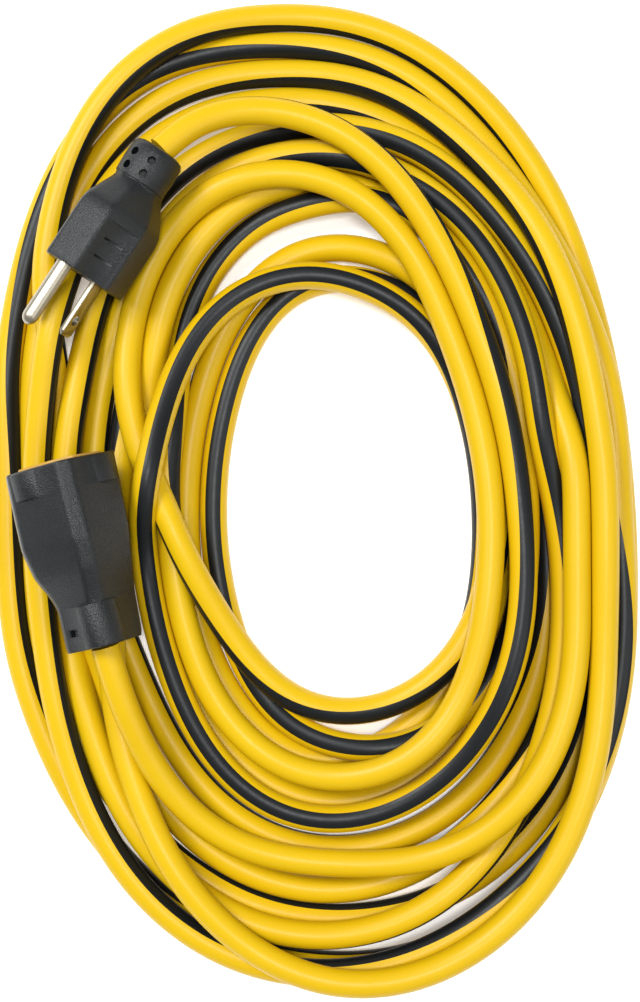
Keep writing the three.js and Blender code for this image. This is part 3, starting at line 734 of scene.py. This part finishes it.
def soften(thing, width):
    """Rounds off the sharp edges of a body."""
    modifier = thing.modifiers.new("edges", "BEVEL")
    modifier.width = width * MM
    modifier.segments = 2
    modifier.limit_method = "ANGLE"
    modifier.angle_limit = math.radians(EDGE_ANGLE)
    modifier.use_clamp_overlap = True
    apply_modifiers(thing)


def placed(thing, at, material, replaced):
    """Turns a body, moves it to its place and makes it the piece that stands for a CAD node."""
    position, heading, roll = at
    turn = Matrix.Rotation(math.radians(heading), 4, "Z") @ Matrix.Rotation(math.radians(roll), 4, "X")
    thing.data.transform(Matrix.Translation(Vector(position) * MM) @ turn)
    thing.data.materials.clear()
    thing.data.materials.append(material)
    for polygon in thing.data.polygons:
        polygon.material_index = 0
    shade(thing.data, SHARP_OVER["moulding"])
    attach(thing, "root")
    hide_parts(replaced)
    return thing


def flank(section, lean=0.0):
    """The middle of a moulding's sloping side and its slope, on the positive side of y."""
    _, half_width, _, shoulder, top, half_top, _, _ = section
    half_width, shoulder = half_width - lean, shoulder - LEAN_DROP * lean
    slope = math.atan2(top - shoulder, half_width - half_top)
    return (half_width + half_top) / 2, (top + shoulder) / 2, slope


def collar_holes():
    """The bodies that cut the holes round the plug's collar, one after another."""
    radius, depth = COLLAR_HOLES["radius"], COLLAR_HOLES["depth"]
    start = max(outer for _, outer in PLUG_COLLAR) + CUT_PAST
    for x in COLLAR_HOLES["rows"]:
        for angle in COLLAR_HOLES["angles"]:
            hole = lathe("hole", [(0, radius), (depth + CUT_PAST, radius)], sides=24)
            out = Matrix.Translation((x * MM, 0, 0)) @ Matrix.Rotation(math.radians(angle), 4, "X")
            out = out @ Matrix.Translation((0, 0, start * MM))
            hole.data.transform(out @ Matrix.Rotation(math.pi / 2, 4, "Y"))
            yield hole


def on_flank(section, side, down, rise, lean=0.0):
    """A place on a moulding's sloping side: how far below its middle, and how far out of it."""
    y, z, slope = flank(section, lean if side > 0 else 0)
    along = np.array((side * math.cos(slope), -math.sin(slope)))
    normal = np.array((side * math.sin(slope), math.cos(slope)))
    return np.array((side * y, z)) + along * down + normal * rise


def scoop(side):
    """The hollow of a grip panel."""
    radius = SCOOP["radius"]
    middle = on_flank(PLUG_SECTIONS[0], side, SCOOP["shift"], radius - SCOOP["depth"], PLUG_LEAN)
    return lathe("scoop", [(SCOOP["start"], radius), (SCOOP["end"], radius)], middle, sides=128)


def grip_grooves(side):
    """The thin grooves across a grip panel."""
    radius, half = SCOOP_GROOVES["radius"], SCOOP_GROOVES["half_thickness"]
    rise = radius - SCOOP["depth"] - SCOOP_GROOVES["sink"]
    middle = on_flank(PLUG_SECTIONS[0], side, SCOOP["shift"], rise, PLUG_LEAN)
    return [lathe("groove", [(x - half, radius), (x + half, radius)], middle) for x in SCOOP_GROOVES["at"]]


def make_plug(material):
    plug = shell("plug_moulding", PLUG_SECTIONS, FRONT_ROUNDING["plug"], PLUG_LEAN)
    combine(plug, [lathe("collar", PLUG_COLLAR)], "UNION")
    combine(plug, [scoop(-1), scoop(1), cavity(PLUG_CAVITY)], "DIFFERENCE")
    soften(plug, EDGE_ROUNDING["plug"])
    combine(plug, [*grip_grooves(-1), *grip_grooves(1), *collar_holes()], "DIFFERENCE")
    return placed(plug, PLUG_AT, material, "plug_overmould")


def make_pin(material):
    """The ground pin, with its rounded nose."""
    radius, length, nose = PIN["radius"], PIN["length"], PIN["nose"]
    angles = [math.pi / 2 * k / 8 for k in range(9)]
    profile = [(-length + nose * (1 - math.cos(a)), radius * math.sin(a)) for a in angles]
    pin = lathe("ground_pin", [*profile, (PIN["tail"], radius)], (0, PIN["offset"]), sides=48)
    return placed(pin, PLUG_AT, material, "plug_ground_pin")


def make_blade(name, side, material):
    """A flat blade with a thinned tip and its hole."""
    y, wide, thick = side * BLADE["side"], BLADE["half_width"], BLADE["half_thickness"]
    stations = []
    tip = -BLADE["length"]
    for x, inset in ((tip, 1), (tip + BLADE_TIP["length"], 0), (PIN["tail"], 0)):
        w = wide - BLADE_TIP["narrower"] * inset
        t = thick - BLADE_TIP["thinner"] * inset
        corners = [(y - t, -w), (y + t, -w), (y + t, w), (y - t, w)]
        stations.append((x, rounded_outline(corners, BLADE["corner"], steps=2)))
    blade = loft(name, stations)
    past = thick + CUT_PAST
    hole = lathe("hole", [(-past, BLADE["hole"]), (past, BLADE["hole"])], sides=32)
    across = Matrix.Rotation(math.pi / 2, 4, "Z")
    hole.data.transform(Matrix.Translation((-BLADE["hole_at"] * MM, y * MM, 0)) @ across)
    combine(blade, [hole], "DIFFERENCE")
    soften(blade, EDGE_ROUNDING["blade"])
    return placed(blade, PLUG_AT, material, f"plug_{name}")


def cavity(shape):
    """The body that hollows a moulding out from the front."""
    depth, half_width, bottom, shoulder, top, half_top = shape
    outline = house(half_width, bottom, shoulder, top, half_top, CAVITY_CORNER)
    return loft("cavity", [(-CUT_PAST, outline), (depth, outline)])


def connector_crest():
    """The round back of the connector's collar."""
    radius, end, edge = COLLAR_CREST["radius"], COLLAR_CREST["end"], COLLAR_CREST["edge"]
    profile = [(COLLAR_CREST["start"], radius), (end - edge, radius), (end, radius - edge)]
    return lathe("crest", profile, (0, COLLAR_CREST["height"]))


def connector_barrel(side):
    """The round swelling beside the connector's face."""
    radius, edge = BARREL["radius"], BARREL["edge"]
    middle = on_flank(CONNECTOR_SECTIONS[0], side, BARREL["shift"], BARREL["rise"] - radius)
    profile = [(edge, radius - edge), (2 * edge, radius), (BARREL["end"], radius)]
    return lathe("barrel", profile, middle, sides=96)


def make_connector(material):
    connector = shell("connector_moulding", CONNECTOR_SECTIONS, FRONT_ROUNDING["connector"])
    combine(connector, [connector_crest(), connector_barrel(-1), connector_barrel(1)], "UNION")
    combine(connector, [collar_slot(), cavity(CONNECTOR_CAVITY)], "DIFFERENCE")
    soften(connector, EDGE_ROUNDING["connector"])
    return placed(connector, CONNECTOR_AT, material, "connector_overmould")


def collar_slot():
    """The body that cuts the slot on the sloping side of the connector's collar."""
    slope = flank(CONNECTOR_SECTIONS[-2])[2]
    half, depth = COLLAR_SLOT["width"] / 2, COLLAR_SLOT["depth"]
    corners = [(-half, -depth), (half, -depth), (half, depth), (-half, depth)]
    outline = rounded_outline(corners, COLLAR_SLOT["corner"], steps=3)
    reach = COLLAR_SLOT["length"] / 2
    slot = loft("slot", [(COLLAR_SLOT["at"] - reach, outline), (COLLAR_SLOT["at"] + reach, outline)])
    place = Matrix.Translation((0, -COLLAR_SLOT["side"] * MM, COLLAR_SLOT["height"] * MM))
    slot.data.transform(place @ Matrix.Rotation(slope, 4, "X"))
    return slot


# ---------------------------------------------------------------- CAD nodes that stay

def dress_nodes(materials):
    """Gives the inner parts, which stay as they were packed, their materials."""
    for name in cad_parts:
        node = bpy.data.objects.get(name)
        if node is None or name in REPLACED:
            continue
        look = next(look for part, look in NODE_MATERIALS if part in name)
        node.data.materials.clear()
        node.data.materials.append(materials[look])
        shade(node.data, SHARP_OVER["node"])


# ---------------------------------------------------------------- camera, floor and light

def make_camera():
    data = bpy.data.cameras.new("camera")
    data.lens = CAMERA_LENS
    data.sensor_width = SENSOR_WIDTH
    camera = bpy.data.objects.new("camera", data)
    camera.location = (0, 0, CAMERA_HEIGHT)
    bpy.context.scene.collection.objects.link(camera)
    bpy.context.scene.camera = camera


def make_floor(material):
    """A plain white ground that glows faintly, so that the openings between the turns stay light."""
    half = FLOOR_HALF_SIDE
    corners = [(-half, -half, 0), (half, -half, 0), (half, half, 0), (-half, half, 0)]
    mesh = bpy.data.meshes.new("floor")
    mesh.from_pydata(corners, [], [(0, 1, 2, 3)])
    floor = bpy.data.objects.new("floor", mesh)
    shader = material.node_tree.nodes["Principled BSDF"]
    shader.inputs["Emission Color"].default_value = (1, 1, 1, 1)
    shader.inputs["Emission Strength"].default_value = FLOOR_GLOW
    floor.data.materials.append(material)
    bpy.context.scene.collection.objects.link(floor)


def make_sky():
    """An even white light from all round."""
    world = bpy.data.worlds.new("studio")
    world.use_nodes = True
    background = world.node_tree.nodes["Background"]
    background.inputs["Color"].default_value = (1, 1, 1, 1)
    background.inputs["Strength"].default_value = SKY_STRENGTH
    bpy.context.scene.world = world


def make_light(name, place, side, power):
    data = bpy.data.lights.new(name, "AREA")
    data.shape = "SQUARE"
    data.size = side
    data.energy = power
    light = bpy.data.objects.new(name, data)
    light.location = place
    light.rotation_euler = (-Vector(place)).to_track_quat("-Z", "Y").to_euler()
    bpy.context.scene.collection.objects.link(light)


make_camera()
materials = {name: make_material(name) for name in MATERIALS}
add_drift(materials["jacket_yellow"], JACKET_DRIFT["colour"], JACKET_DRIFT["scale"])
ends = [
    make_plug(materials["moulding_black"]),
    make_pin(materials["pin_plating"]),
    make_blade("line_blade", LINE_SIDE, materials["pin_plating"]),
    make_blade("neutral_blade", -LINE_SIDE, materials["pin_plating"]),
    make_connector(materials["moulding_black"]),
]
make_cord(materials["jacket_yellow"], materials["stripe_black"])
dress_nodes(materials)
make_floor(materials["floor"])
make_sky()
for light in LIGHTS:
    make_light(*light)
bpy.context.scene.view_settings.view_transform = "Standard"
